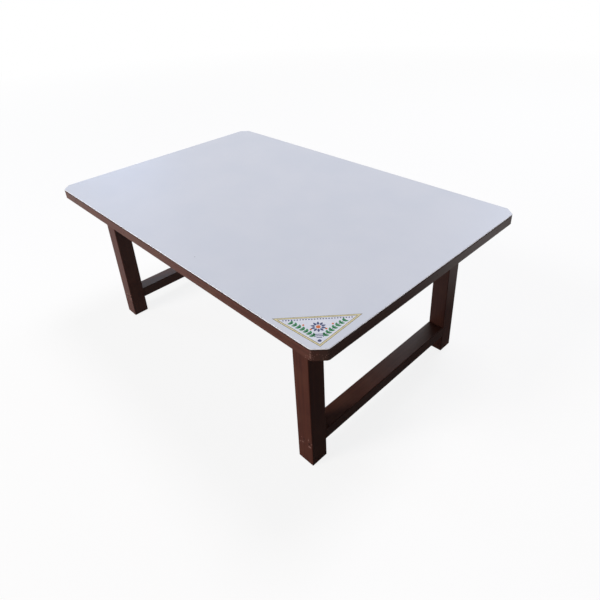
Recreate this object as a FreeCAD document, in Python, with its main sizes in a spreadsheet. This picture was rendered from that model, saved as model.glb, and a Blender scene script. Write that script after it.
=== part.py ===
import FreeCAD, Part
import os
import Sketcher

# Folding study table: a laminated top on two wooden leg frames. Each leg turns on a pin in a
# pressed steel bracket under the top, so that the frame folds inwards and lies flat.
# Frame: +X along the long side, +Y along the short side, +Z up. The origin is on the floor,
# under the middle of the top. The legs stand unfolded. All sizes are in millimetres.

SIZES = {
    # the top
    "top_length": 610,
    "top_width": 402,
    "table_height": 251,
    "board_gauge": 15,
    "laminate_gauge": 1,
    "laminate_bevel": 0.5,
    "lipping_width": 12,
    "corner_cut": 13,
    "corner_ease": 6,
    "edge_ease": 1.2,
    # the sticker on the near corner, stuck on a little askew (the turn is in degrees)
    "label_gauge": 0.15,
    "label_side": 68,
    "label_from_end": 8.1,
    "label_from_side": 9.4,
    "label_turn": 2.5,
    # the headless pins in the lippings
    "pin_diameter": 1.8,
    "pin_length": 30,
    "pin_point": 1.5,
    # a leg
    "leg_depth": 26,
    "leg_side": 26,
    "leg_inset_end": 58,
    "leg_inset_side": 38.5,
    "leg_ease": 1,
    "foot_bevel": 0.8,
    # the stretcher between two legs and its nails
    "stretcher_gauge": 18,
    "stretcher_clear": 30,
    "nail_diameter": 2.8,
    "nail_length": 55,
    "nail_point": 2.5,
    "nail_offset": 3,
    "nail_spread": 4.5,
    "nail_rise": 1,
    # the pivot pin and its heads
    "pivot_diameter": 6,
    "pivot_fit": 0.05,
    "pivot_head": 11,
    "pivot_head_gauge": 2.2,
    # the shoe round the top of a leg
    "shoe_gauge": 1.5,
    "shoe_fit": 0.1,
    "shoe_drop": 26,
    "cam_corner": 11.5,
    "cheek_corner": 6,
    "shoe_bend": 1.2,
    "shoe_screw_drop": 20,
    "shoe_screw_spread": 6,
    "shoe_screw_diameter": 3.2,
    "shoe_screw_length": 10,
    "shoe_screw_head": 6.2,
    "shoe_screw_head_gauge": 1.8,
    "shoe_screw_clear": 0.2,
    # the bracket: base plate, ears and stop ribs
    "bracket_gauge": 2,
    "ear_gap": 0.3,
    "ear_past_leg_inside": 3,
    "ear_past_leg_outside": 1,
    "ear_shoulder": 7,
    "ear_toe": 9,
    "ear_reach": 10.5,
    "ear_round": 7,
    "bend_outer": 3,
    "bend_inner": 1,
    "tongue_inside": 33,
    "tongue_outside": 19,
    "plate_width": 28,
    "plate_round": 6,
    "rib_inset": 0.5,
    "rib_length": 5,
    "rib_gap": 1,
    "rib_width": 6,
    "rib_round": 0.8,
    # the screws that hold the base plate
    "screw_diameter": 3.5,
    "screw_clear": 0.25,
    "screw_head": 7,
    "screw_length": 14,
    "screw_point": 3,
    "screw_from_ear": 11,
    "screw_spread": 10,
    # the leaf spring and its rivets
    "leaf_gauge": 1,
    "leaf_width": 12,
    "leaf_rest": 0.05,
    "leaf_room": 1.45,
    "leaf_from_plate_end": 2,
    "leaf_flat_from_ear": 13,
    "leaf_bend_from_ear": 5,
    "leaf_tip_gap": 1,
    "leaf_tip_run": 3.5,
    "leaf_tip_lift": 0.8,
    "leaf_round": 4,
    "leaf_bend": 3,
    "rivet_diameter": 3,
    "rivet_head": 5.6,
    "rivet_head_gauge": 1.4,
    "rivet_sink": 0.8,
    "rivet_from_ear": 19,
    "rivet_pitch": 8,
    # what each cut runs past the piece it cuts
    "overrun": 4,
}

# Places that follow from the sizes. Height is up from the floor, the rest as the names say.
PLACES = {
    "half_length": "dims.top_length / 2",
    "half_width": "dims.top_width / 2",
    "board_top": "dims.table_height - dims.laminate_gauge",
    "underside": "dims.table_height - dims.laminate_gauge - dims.board_gauge",
    "board_middle": "dims.table_height - dims.laminate_gauge - dims.board_gauge / 2",
    "leg_x": "dims.top_length / 2 - dims.leg_inset_end - dims.leg_depth / 2",
    "leg_y": "dims.top_width / 2 - dims.leg_inset_side - dims.leg_side / 2",
    "half_leg": "dims.leg_depth / 2",
    "cam_flat": "half_leg + dims.shoe_gauge",
    "shoe_inside": "dims.leg_side + 2 * dims.shoe_fit",
    "shoe_width": "shoe_inside + 2 * dims.shoe_gauge",
    "bracket_inside": "shoe_width + 2 * dims.ear_gap",
    "bracket_width": "bracket_inside + 2 * dims.bracket_gauge",
    "leaf_under": "cam_flat + dims.leaf_rest",
    "plate_under": "leaf_under + dims.leaf_gauge + dims.leaf_room",
    "pivot_drop": "plate_under + dims.bracket_gauge",
    "pivot_z": "underside - pivot_drop",
    "ear_inner": "half_leg + dims.ear_past_leg_inside",
    "ear_outer": "half_leg + dims.ear_past_leg_outside",
    "plate_inner": "ear_inner + dims.tongue_inside",
    "plate_outer": "ear_outer + dims.tongue_outside",
    "rib_end": "half_leg - dims.rib_inset",
    "rib_start": "rib_end - dims.rib_length",
    "rib_inner": "dims.leaf_width / 2 + dims.rib_gap",
    "screw_inner": "ear_inner + dims.screw_from_ear",
    "screw_outer": "ear_outer + dims.screw_from_ear",
    "leaf_inner": "plate_inner - dims.leaf_from_plate_end",
    "leaf_bend_start": "ear_inner + dims.leaf_flat_from_ear",
    "leaf_bend_end": "ear_inner + dims.leaf_bend_from_ear",
    "leaf_tip": "rib_start - dims.leaf_tip_gap",
    "leaf_tip_start": "leaf_tip - dims.leaf_tip_run",
    "rivet_first": "ear_inner + dims.rivet_from_ear",
    "rivet_second": "rivet_first + dims.rivet_pitch",
    "stretcher_length": "2 * leg_y - dims.leg_side",
    "stretcher_middle": "dims.stretcher_clear + dims.stretcher_gauge / 2",
    "joint_face": "leg_y + dims.leg_side / 2",
}

# Where the pins sit along a lipping, as shares of the top's length or width.
LONG_PIN_SHARES = (-0.41, -0.14, 0.14, 0.41)
SHORT_PIN_SHARES = (-0.36, 0, 0.36)

# The four corners, as the sign of X and of Y.
CORNERS = {
    "front_left": (-1, -1),
    "front_right": (1, -1),
    "back_left": (-1, 1),
    "back_right": (1, 1),
}
SIDES = {"left": -1, "right": 1}

doc = FreeCAD.newDocument("folding_study_table")
nodes = []


def fill_sheet(name, values):
    sheet = doc.addObject("Spreadsheet::Sheet", name)
    for row, (alias, value) in enumerate(values.items(), start=1):
        sheet.set(f"A{row}", alias)
        sheet.set(f"B{row}", str(value))
        sheet.setAlias(f"B{row}", alias)
    doc.recompute()
    return sheet


dims = fill_sheet("dims", SIZES)
places = fill_sheet("places", {alias: f"={formula}" for alias, formula in PLACES.items()})


def value_of(expression):
    return float(dims.evalExpression(expression))


# Bodies, sketches and features

def new_body(label):
    body = doc.addObject("PartDesign::Body", label)
    body.Label = label
    return body


def keep(label, piece):
    piece.Label = label
    nodes.append(piece)
    return piece


def new_sketch(body, role, offset=None):
    sketch = body.newObject("Sketcher::SketchObject", "sketch")
    plane = next(each for each in body.Origin.OriginFeatures if each.Role == role)
    sketch.AttachmentSupport = [(plane, "")]
    sketch.MapMode = "FlatFace"
    if offset:
        sketch.setExpression("AttachmentOffset.Base.z", offset)
    return sketch


def place_point(sketch, shape, point, position, x, y):
    across = sketch.addConstraint(
        Sketcher.Constraint("DistanceX", -1, 1, shape, point, position.x))
    sketch.setExpression(f"Constraints[{across}]", x)
    along = sketch.addConstraint(
        Sketcher.Constraint("DistanceY", -1, 1, shape, point, position.y))
    sketch.setExpression(f"Constraints[{along}]", y)


def add_outline(sketch, points):
    # a closed outline of straight lines, each corner held by two expressions
    first = sketch.GeometryCount
    corners = [FreeCAD.Vector(value_of(x), value_of(y), 0) for x, y in points]
    count = len(points)
    for index, corner in enumerate(corners):
        sketch.addGeometry(Part.LineSegment(corner, corners[(index + 1) % count]))
    for index, (x, y) in enumerate(points):
        following = first + (index + 1) % count
        sketch.addConstraint(
            Sketcher.Constraint("Coincident", first + index, 2, following, 1))
        place_point(sketch, first + index, 1, corners[index], x, y)


def add_rectangle(sketch, left, bottom, right, top):
    add_outline(sketch, [(left, bottom), (right, bottom), (right, top), (left, top)])


def add_circle(sketch, x, y, radius):
    centre = FreeCAD.Vector(value_of(x), value_of(y), 0)
    up = FreeCAD.Vector(0, 0, 1)
    index = sketch.addGeometry(Part.Circle(centre, up, value_of(radius)))
    place_point(sketch, index, 3, centre, x, y)
    size = sketch.addConstraint(Sketcher.Constraint("Radius", index, value_of(radius)))
    sketch.setExpression(f"Constraints[{size}]", radius)


def settle(body, feature):
    # works the feature out and stops at once if it failed
    doc.recompute()
    failed = "Invalid" in feature.State or "Error" in feature.State
    if failed or feature.Shape.isNull():
        raise RuntimeError(f"{body.Label}: {feature.Label} did not compute")
    return feature


def extrude(body, kind, sketch, length=None, symmetric=False, downwards=False):
    feature = body.newObject(f"PartDesign::{kind}", kind.lower())
    feature.Profile = sketch
    if symmetric:
        feature.SideType = "Symmetric"
    if length:
        feature.setExpression("Length", length)
    else:
        feature.Type = "ThroughAll"
    feature.Reversed = downwards
    return settle(body, feature)


def revolve(body, sketch, role):
    feature = body.newObject("PartDesign::Revolution", "revolution")
    feature.Profile = sketch
    axis = next(each for each in body.Origin.OriginFeatures if each.Role == role)
    feature.ReferenceAxis = (axis, [""])
    return settle(body, feature)


def dress(body, kind, size, wanted):
    # a fillet or chamfer on each edge of the body's last shape that the test accepts
    last = body.Tip
    names = [
        f"Edge{number}"
        for number, edge in enumerate(last.Shape.Edges, start=1)
        if wanted(edge)
    ]
    if not names:
        raise RuntimeError(f"{body.Label}: no edge for its {kind}")
    feature = body.newObject(f"PartDesign::{kind}", kind.lower())
    feature.Base = (last, names)
    feature.setExpression("Radius" if kind == "Fillet" else "Size", size)
    return settle(body, feature)


def close(first, second):
    tolerance = 1e-4
    return abs(first - second) < tolerance


def hollow(body, gauge, opened):
    # leaves a wall of this gauge inside the shape and takes away the faces that the test accepts
    last = body.Tip
    names = [
        f"Face{number}"
        for number, face in enumerate(last.Shape.Faces, start=1)
        if opened(face)
    ]
    if not names:
        raise RuntimeError(f"{body.Label}: no face to open")
    feature = body.newObject("PartDesign::Thickness", "thickness")
    feature.Base = (last, names)
    feature.Join = "Intersection"
    feature.Reversed = True
    feature.setExpression("Value", gauge)
    return settle(body, feature)


def straight(edge, axis):
    # true for an edge that runs along one axis
    box = edge.BoundBox
    lengths = {"X": box.XLength, "Y": box.YLength, "Z": box.ZLength}
    others = [length for name, length in lengths.items() if name != axis]
    return close(max(others), 0) and not close(lengths[axis], 0)


def edge_at(edge, axis, **position):
    # true for an edge along one axis that passes through the given coordinates
    middle = edge.BoundBox.Center
    return straight(edge, axis) and all(
        close(getattr(middle, name), value_of(wanted)) for name, wanted in position.items())


def rim_at(edge, height, radius):
    # true for a level circle of this radius at this height
    box = edge.BoundBox
    return (
        isinstance(edge.Curve, Part.Circle)
        and close(box.ZMin, value_of(height))
        and close(box.ZMax, value_of(height))
        and close(edge.Curve.Radius, value_of(radius))
    )


def stand(piece, x=None, y=None, z=None, turn=0):
    # puts a piece at places worked out by the sheet, turned about the vertical
    upright = FreeCAD.Vector(0, 0, 1)
    piece.Placement = FreeCAD.Placement(FreeCAD.Vector(0, 0, 0), FreeCAD.Rotation(upright, turn))
    for name, expression in (("x", x), ("y", y), ("z", z)):
        if expression:
            piece.setExpression(f"Placement.Base.{name}", expression)


def stand_on_pivot(piece, signs):
    # a piece drawn about the pivot's axis, with +X towards the end of the table
    turn = 0 if signs[0] > 0 else 180
    stand(piece, f"{signs[0]} * places.leg_x", f"{signs[1]} * places.leg_y", "places.pivot_z", turn)


def group(label, master, spots):
    # separate copies of one fastener, gathered in one piece
    copies = []
    for x, y, z, turn in spots:
        copy = doc.addObject("App::Link", f"{label}_copy")
        copy.LinkedObject = master
        stand(copy, x, y, z, turn)
        copies.append(copy)
    gathered = doc.addObject("Part::Compound", label)
    gathered.Links = copies
    doc.recompute()
    return gathered


def drilled(label, blank, tools):
    # the blank with a hole for each fastener that goes into it
    fasteners = doc.addObject("Part::Compound", f"{label}_tools")
    fasteners.Links = tools
    cut = doc.addObject("Part::Cut", label)
    cut.Base = blank
    cut.Tool = fasteners
    doc.recompute()
    return cut


# Fasteners, each drawn once about the origin

def turned_body(label, role, axis_role, points):
    # half a lengthways section, in radius and length, turned about the axis
    body = new_body(label)
    sketch = new_sketch(body, role)
    add_outline(sketch, points)
    revolve(body, sketch, axis_role)
    return body


def pointed_pin(label, diameter, length, point):
    # lies along Y with its flat end at the origin and its point towards +Y
    return turned_body(label, "XY_Plane", "Y_Axis", [
        ("0", "0"),
        (f"{diameter} / 2", "0"),
        (f"{diameter} / 2", f"{length} - {point}"),
        ("0", length),
    ])


def make_shoe_screw():
    # lies along Y, with the underside of its head at the origin
    body = turned_body("shoe_screw", "XY_Plane", "Y_Axis", [
        ("0", "-dims.shoe_screw_head_gauge"),
        ("dims.shoe_screw_head / 2", "-dims.shoe_screw_head_gauge"),
        ("dims.shoe_screw_head / 2", "0"),
        ("dims.shoe_screw_diameter / 2", "0"),
        ("dims.shoe_screw_diameter / 2", "dims.shoe_screw_length - dims.screw_point"),
        ("0", "dims.shoe_screw_length"),
    ])
    dress(body, "Fillet", "0.7 * dims.shoe_screw_head_gauge", lambda edge: (
        isinstance(edge.Curve, Part.Circle)
        and close(edge.BoundBox.YMin, value_of("-dims.shoe_screw_head_gauge"))))
    return body


def make_bracket_screw():
    # stands on its countersunk head, with the head's flat at the origin
    return turned_body("bracket_screw", "XZ_Plane", "Z_Axis", [
        ("0", "0"),
        ("dims.screw_head / 2", "0"),
        ("dims.screw_diameter / 2", "(dims.screw_head - dims.screw_diameter) / 2"),
        ("dims.screw_diameter / 2", "dims.screw_length - dims.screw_point"),
        ("0", "dims.screw_length"),
    ])


def make_spring_rivet():
    # stands on the pivot's height, from the domed head under the leaf up to the sunk head
    under = "(places.plate_under - dims.leaf_gauge)"
    body = turned_body("spring_rivet", "XZ_Plane", "Z_Axis", [
        ("0", f"{under} - dims.rivet_head_gauge"),
        ("dims.rivet_head / 2", f"{under} - dims.rivet_head_gauge"),
        ("dims.rivet_head / 2", under),
        ("dims.rivet_diameter / 2", under),
        ("dims.rivet_diameter / 2", "places.pivot_drop - dims.rivet_sink"),
        ("dims.rivet_diameter / 2 + dims.rivet_sink", "places.pivot_drop"),
        ("0", "places.pivot_drop"),
    ])
    dress(body, "Fillet", "0.7 * dims.rivet_head_gauge", lambda edge: rim_at(
        edge, f"{under} - dims.rivet_head_gauge", "dims.rivet_head / 2"))
    return body


def make_pivot_pin(label, signs):
    # lies along Y through both ears, with a head riveted over at each end
    half = "(places.bracket_width / 2)"
    body = turned_body(label, "XY_Plane", "Y_Axis", [
        ("0", f"-{half} - dims.pivot_head_gauge"),
        ("dims.pivot_head / 2", f"-{half} - dims.pivot_head_gauge"),
        ("dims.pivot_head / 2", f"-{half}"),
        ("dims.pivot_diameter / 2", f"-{half}"),
        ("dims.pivot_diameter / 2", half),
        ("dims.pivot_head / 2", half),
        ("dims.pivot_head / 2", f"{half} + dims.pivot_head_gauge"),
        ("0", f"{half} + dims.pivot_head_gauge"),
    ])
    ends = value_of(f"{half} + dims.pivot_head_gauge")
    dress(body, "Fillet", "0.7 * dims.pivot_head_gauge", lambda edge: (
        isinstance(edge.Curve, Part.Circle)
        and close(abs(edge.BoundBox.YMin), ends)
        and close(abs(edge.BoundBox.YMax), ends)))
    stand_on_pivot(body, signs)
    return keep(label, body)


# The top

def add_label_outline(sketch):
    # a triangle, turned about its square corner near the corner of the top
    near_x = "(places.half_length - dims.label_from_end)"
    near_y = "(places.half_width - dims.label_from_side)"
    straight_run = "dims.label_side * cos(dims.label_turn)"
    askew_run = "dims.label_side * sin(dims.label_turn)"
    add_outline(sketch, [
        (near_x, f"-{near_y}"),
        (f"{near_x} - {askew_run}", f"-{near_y} + {straight_run}"),
        (f"{near_x} - {straight_run}", f"-{near_y} - {askew_run}"),
    ])


def make_laminate():
    body = new_body("top_laminate")
    sketch = new_sketch(body, "XY_Plane", "places.board_top")
    cut_x = "(places.half_length - dims.corner_cut)"
    cut_y = "(places.half_width - dims.corner_cut)"
    add_outline(sketch, [
        (f"-{cut_x}", "-places.half_width"),
        (cut_x, "-places.half_width"),
        ("places.half_length", f"-{cut_y}"),
        ("places.half_length", cut_y),
        (cut_x, "places.half_width"),
        (f"-{cut_x}", "places.half_width"),
        ("-places.half_length", cut_y),
        ("-places.half_length", f"-{cut_y}"),
    ])
    extrude(body, "Pad", sketch, "dims.laminate_gauge")
    dress(body, "Fillet", "dims.corner_ease", lambda edge: straight(edge, "Z"))
    top = value_of("dims.table_height")
    dress(body, "Chamfer", "dims.laminate_bevel", lambda edge: close(edge.BoundBox.ZMin, top))
    seat = new_sketch(body, "XY_Plane", "dims.table_height")
    add_label_outline(seat)
    extrude(body, "Pocket", seat, "dims.label_gauge")
    return keep("top_laminate", body)


def make_lipping(label, half_run, half_reach, turn):
    # one mitred strip along X at the -Y side, turned to its own side of the board
    body = new_body(f"{label}_blank")
    sketch = new_sketch(body, "XY_Plane", "places.underside")
    add_outline(sketch, [
        (f"-({half_run} - dims.corner_cut)", f"-{half_reach}"),
        (f"{half_run} - dims.corner_cut", f"-{half_reach}"),
        (f"{half_run} - dims.corner_cut / 2", f"-({half_reach} - dims.corner_cut / 2)"),
        (f"{half_run} - dims.lipping_width", f"-({half_reach} - dims.lipping_width)"),
        (f"-({half_run} - dims.lipping_width)", f"-({half_reach} - dims.lipping_width)"),
        (f"-({half_run} - dims.corner_cut / 2)", f"-({half_reach} - dims.corner_cut / 2)"),
    ])
    extrude(body, "Pad", sketch, "dims.board_gauge")
    outer = value_of(half_reach)
    low = value_of("places.underside")
    mitre = value_of(f"{half_reach} - dims.corner_cut / 2")
    dress(body, "Fillet", "dims.corner_ease", lambda edge: (
        straight(edge, "Z") and close(edge.BoundBox.YMin, -outer)))
    dress(body, "Chamfer", "dims.edge_ease", lambda edge: (
        close(edge.BoundBox.ZMax, low) and edge.BoundBox.YMax < -mitre + edge.Tolerance))
    stand(body, turn=turn)
    return body


def make_lippings():
    # pins go in from the outer face, halfway up the board
    pin = pointed_pin("lipping_pin", "dims.pin_diameter", "dims.pin_length", "dims.pin_point")
    level = "places.board_middle"
    pins = {
        "front": [(f"{share} * dims.top_length", "-places.half_width", level, 0)
                  for share in LONG_PIN_SHARES],
        "back": [(f"{share} * dims.top_length", "places.half_width", level, 180)
                 for share in LONG_PIN_SHARES],
        "left": [("-places.half_length", f"{share} * dims.top_width", level, -90)
                 for share in SHORT_PIN_SHARES],
        "right": [("places.half_length", f"{share} * dims.top_width", level, 90)
                  for share in SHORT_PIN_SHARES],
    }
    all_pins = keep("lipping_pins", group("lipping_pins", pin, sum(pins.values(), [])))
    runs = {"front": 0, "right": 90, "back": 180, "left": 270}
    for side, turn in runs.items():
        along, across = "places.half_length", "places.half_width"
        if side in SIDES:
            along, across = across, along
        blank = make_lipping(f"{side}_lipping", along, across, turn)
        keep(f"{side}_lipping", drilled(f"{side}_lipping", blank, [all_pins]))
    return all_pins


def make_core_board(pins, screws):
    blank = new_body("core_board_blank")
    sketch = new_sketch(blank, "XY_Plane", "places.underside")
    half_x = "(places.half_length - dims.lipping_width)"
    half_y = "(places.half_width - dims.lipping_width)"
    add_rectangle(sketch, f"-{half_x}", f"-{half_y}", half_x, half_y)
    extrude(blank, "Pad", sketch, "dims.board_gauge")
    return keep("core_board", drilled("core_board", blank, [pins, screws]))


def make_label():
    # a thin film let into the laminate, flush with it
    body = new_body("corner_label")
    sketch = new_sketch(body, "XY_Plane", "dims.table_height")
    add_label_outline(sketch)
    extrude(body, "Pad", sketch, "dims.label_gauge", downwards=True)
    return keep("corner_label", body)


# The leg frames

def make_leg(label, signs, fasteners):
    # drawn about the pivot, with the end above it square outside and rounded inside
    blank = new_body(f"{label}_blank")
    sketch = new_sketch(blank, "XZ_Plane")
    add_rectangle(sketch, "-places.half_leg", "-places.pivot_z", "places.half_leg", "places.half_leg")
    extrude(blank, "Pad", sketch, "dims.leg_side", symmetric=True)
    dress(blank, "Fillet", "dims.cam_corner - dims.shoe_gauge", lambda edge: edge_at(
        edge, "Y", x="-places.half_leg", z="places.half_leg"))
    dress(blank, "Fillet", "dims.leg_ease", lambda edge: straight(edge, "Z"))
    foot = value_of("-places.pivot_z")
    dress(blank, "Chamfer", "dims.foot_bevel", lambda edge: close(edge.BoundBox.ZMax, foot))
    bore = new_sketch(blank, "XZ_Plane")
    add_circle(bore, "0", "0", "dims.pivot_diameter / 2 + dims.pivot_fit")
    extrude(blank, "Pocket", bore, symmetric=True)
    stand_on_pivot(blank, signs)
    return keep(label, drilled(label, blank, fasteners))


def make_stretcher(side, nails):
    label = f"{side}_stretcher"
    blank = new_body(f"{label}_blank")
    sketch = new_sketch(blank, "XZ_Plane")
    high = "dims.stretcher_clear + dims.stretcher_gauge"
    add_rectangle(sketch, "-places.half_leg", "dims.stretcher_clear", "places.half_leg", high)
    extrude(blank, "Pad", sketch, "places.stretcher_length", symmetric=True)
    dress(blank, "Fillet", "dims.edge_ease", lambda edge: straight(edge, "Y"))
    stand(blank, f"{SIDES[side]} * places.leg_x")
    return keep(label, drilled(label, blank, [nails]))


def make_shoe(label, signs):
    # steel cap: cheeks on both sides, a rim over the end, round the corner and down inside
    body = new_body(label)
    cap = new_sketch(body, "XZ_Plane")
    add_rectangle(cap, "-places.cam_flat", "-dims.shoe_drop", "places.half_leg", "places.cam_flat")
    extrude(body, "Pad", cap, "places.shoe_width", symmetric=True)
    dress(body, "Fillet", "dims.cam_corner", lambda edge: edge_at(
        edge, "Y", x="-places.cam_flat", z="places.cam_flat"))
    low = value_of("-dims.shoe_drop")
    outer = value_of("places.half_leg")
    hollow(body, "dims.shoe_gauge", lambda face: (
        close(face.BoundBox.ZMax, low) or close(face.BoundBox.XMin, outer)))
    dress(body, "Fillet", "dims.cheek_corner", lambda edge: edge_at(
        edge, "Y", x="places.half_leg", z="-dims.shoe_drop"))
    half = value_of("places.shoe_width / 2")
    dress(body, "Fillet", "dims.shoe_bend", lambda edge: (
        close(edge.BoundBox.YLength, 0)
        and close(abs(edge.BoundBox.YMin), half)
        and (edge_at(edge, "X", z="places.cam_flat") or edge_at(edge, "Z", x="-places.cam_flat"))))
    holes = new_sketch(body, "XZ_Plane")
    add_circle(holes, "0", "0", "dims.pivot_diameter / 2 + dims.pivot_fit")
    for side in SIDES.values():
        add_circle(holes, f"{side} * dims.shoe_screw_spread", "-dims.shoe_screw_drop",
                   "dims.shoe_screw_diameter / 2 + dims.shoe_screw_clear")
    extrude(body, "Pocket", holes, symmetric=True)
    stand_on_pivot(body, signs)
    return keep(label, body)


def make_frame(side):
    # two legs, a stretcher, two shoes and their fasteners, one sign of X
    towards = SIDES[side]
    nail_spots = []
    screw_spots = []
    for y_sign, turn in ((-1, 0), (1, 180)):
        for spread in (-1, 1):
            across = f"dims.nail_offset + {spread} * dims.nail_spread"
            level = f"places.stretcher_middle - {spread} * dims.nail_rise"
            nail_spots.append((f"{towards} * (places.leg_x + {across})",
                               f"{y_sign} * places.joint_face", level, turn))
    for y_sign in SIDES.values():
        for cheek, turn in ((-1, 0), (1, 180)):
            for spread in SIDES.values():
                screw_spots.append((
                    f"{towards} * places.leg_x + {spread} * dims.shoe_screw_spread",
                    f"{y_sign} * places.leg_y + {cheek} * places.shoe_width / 2",
                    "places.pivot_z - dims.shoe_screw_drop", turn))
    nails = keep(f"{side}_stretcher_nails", group(f"{side}_stretcher_nails", NAIL, nail_spots))
    screws = keep(f"{side}_shoe_screws", group(f"{side}_shoe_screws", SHOE_SCREW, screw_spots))
    for corner, signs in CORNERS.items():
        if signs[0] == towards:
            make_leg(f"{corner}_leg", signs, [nails, screws])
            make_shoe(f"{corner}_shoe", signs)
    make_stretcher(side, nails)


# The folding brackets

def make_bracket(label, signs):
    # pressed steel: two ears bent down from a base plate with a tongue at each end
    body = new_body(label)
    ears = new_sketch(body, "XZ_Plane")
    add_outline(ears, [
        ("-places.ear_inner", "places.pivot_drop"),
        ("-places.ear_inner", "dims.ear_shoulder"),
        ("-dims.ear_toe", "-dims.ear_reach"),
        ("dims.ear_toe", "-dims.ear_reach"),
        ("places.ear_outer", "dims.ear_shoulder"),
        ("places.ear_outer", "places.pivot_drop"),
    ])
    extrude(body, "Pad", ears, "places.bracket_width", symmetric=True)
    top = value_of("places.pivot_drop")
    dress(body, "Fillet", "dims.ear_round", lambda edge: (
        straight(edge, "Y") and edge.BoundBox.ZMax < top - edge.Tolerance * 10))
    channel = new_sketch(body, "XZ_Plane")
    add_rectangle(channel, "-(places.ear_inner + dims.overrun)", "-(dims.ear_reach + dims.overrun)",
                  "places.ear_outer + dims.overrun", "places.plate_under")
    extrude(body, "Pocket", channel, "places.bracket_inside", symmetric=True)
    half = value_of("places.bracket_width / 2")
    dress(body, "Fillet", "dims.bend_outer", lambda edge: (
        edge_at(edge, "X", z="places.pivot_drop") and close(abs(edge.BoundBox.YMin), half)))
    half_inside = value_of("places.bracket_inside / 2")
    dress(body, "Fillet", "dims.bend_inner", lambda edge: (
        edge_at(edge, "X", z="places.plate_under")
        and close(abs(edge.BoundBox.YMin), half_inside)))
    plate = new_sketch(body, "XY_Plane", "places.plate_under")
    add_rectangle(plate, "-places.plate_inner", "-dims.plate_width / 2",
                  "places.plate_outer", "dims.plate_width / 2")
    extrude(body, "Pad", plate, "dims.bracket_gauge")
    dress(body, "Fillet", "dims.plate_round", lambda edge: (
        edge_at(edge, "Z", x="-places.plate_inner") or edge_at(edge, "Z", x="places.plate_outer")))
    ribs = new_sketch(body, "XY_Plane", "places.plate_under")
    for side in SIDES.values():
        low, high = "places.rib_inner", "(places.rib_inner + dims.rib_width)"
        if side < 0:
            low, high = f"-{high}", f"-{low}"
        add_rectangle(ribs, "places.rib_start", low, "places.rib_end", high)
    extrude(body, "Pad", ribs, "places.plate_under - places.cam_flat", downwards=True)
    rib_under = value_of("places.cam_flat")
    dress(body, "Fillet", "dims.rib_round", lambda edge: (
        straight(edge, "Z") and close(edge.BoundBox.ZMin, rib_under)))
    bore_bracket(body)
    stand_on_pivot(body, signs)
    return keep(label, body)


def bore_bracket(body):
    # holes for the pivot pin, the countersunk screws and the sunk rivet heads
    pivot = new_sketch(body, "XZ_Plane")
    add_circle(pivot, "0", "0", "dims.pivot_diameter / 2")
    extrude(body, "Pocket", pivot, symmetric=True)
    screws = new_sketch(body, "XY_Plane")
    for x in ("-places.screw_inner", "places.screw_outer"):
        for side in SIDES.values():
            add_circle(screws, x, f"{side} * dims.screw_spread",
                       "dims.screw_diameter / 2 + dims.screw_clear")
    extrude(body, "Pocket", screws, symmetric=True)
    sink = "dims.screw_head / 2 - dims.screw_diameter / 2 - dims.screw_clear"
    dress(body, "Chamfer", sink, lambda edge: rim_at(
        edge, "places.plate_under", "dims.screw_diameter / 2 + dims.screw_clear"))
    rivets = new_sketch(body, "XY_Plane")
    for x in ("-places.rivet_first", "-places.rivet_second"):
        add_circle(rivets, x, "0", "dims.rivet_diameter / 2")
    extrude(body, "Pocket", rivets, symmetric=True)
    dress(body, "Chamfer", "dims.rivet_sink", lambda edge: rim_at(
        edge, "places.pivot_drop", "dims.rivet_diameter / 2"))


def make_leaf(label, signs):
    # spring strip: flat under the plate, stepped down to the shoe, tip turned up again
    body = new_body(label)
    profile = new_sketch(body, "XZ_Plane")
    steps = [
        ("-places.leaf_inner", "places.plate_under - dims.leaf_gauge"),
        ("-places.leaf_bend_start", "places.plate_under - dims.leaf_gauge"),
        ("-places.leaf_bend_end", "places.leaf_under"),
        ("places.leaf_tip_start", "places.leaf_under"),
        ("places.leaf_tip", "places.leaf_under + dims.leaf_tip_lift"),
    ]
    upper = [(x, f"{z} + dims.leaf_gauge") for x, z in reversed(steps)]
    add_outline(profile, steps + upper)
    extrude(body, "Pad", profile, "dims.leaf_width", symmetric=True)
    inner = value_of("-places.leaf_inner")
    tip = value_of("places.leaf_tip")
    dress(body, "Fillet", "dims.leaf_bend", lambda edge: (
        straight(edge, "Y")
        and inner + edge.Length / 12 < edge.BoundBox.XMin < tip - edge.Length / 12))
    dress(body, "Fillet", "dims.leaf_round", lambda edge: (
        edge_at(edge, "Z", x="-places.leaf_inner") or edge_at(edge, "Z", x="places.leaf_tip")))
    holes = new_sketch(body, "XY_Plane")
    for x in ("-places.rivet_first", "-places.rivet_second"):
        add_circle(holes, x, "0", "dims.rivet_diameter / 2")
    extrude(body, "Pocket", holes, symmetric=True)
    stand_on_pivot(body, signs)
    return keep(label, body)


def make_brackets():
    rivet = make_spring_rivet()
    screw = make_bracket_screw()
    rivet_spots = []
    screw_spots = []
    for corner, signs in CORNERS.items():
        make_bracket(f"{corner}_bracket", signs)
        make_leaf(f"{corner}_spring", signs)
        make_pivot_pin(f"{corner}_pivot_pin", signs)
        across, along = f"{signs[0]} * (places.leg_x", f"{signs[1]} * places.leg_y"
        for reach in ("places.rivet_first", "places.rivet_second"):
            rivet_spots.append((f"{across} - {reach})", along, "places.pivot_z", 0))
        for reach in ("- places.screw_inner", "+ places.screw_outer"):
            for side in SIDES.values():
                screw_spots.append((
                    f"{across} {reach})", f"{along} + {side} * dims.screw_spread",
                    "places.pivot_z + places.plate_under", 0))
    keep("spring_rivets", group("spring_rivets", rivet, rivet_spots))
    return keep("bracket_screws", group("bracket_screws", screw, screw_spots))


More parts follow.
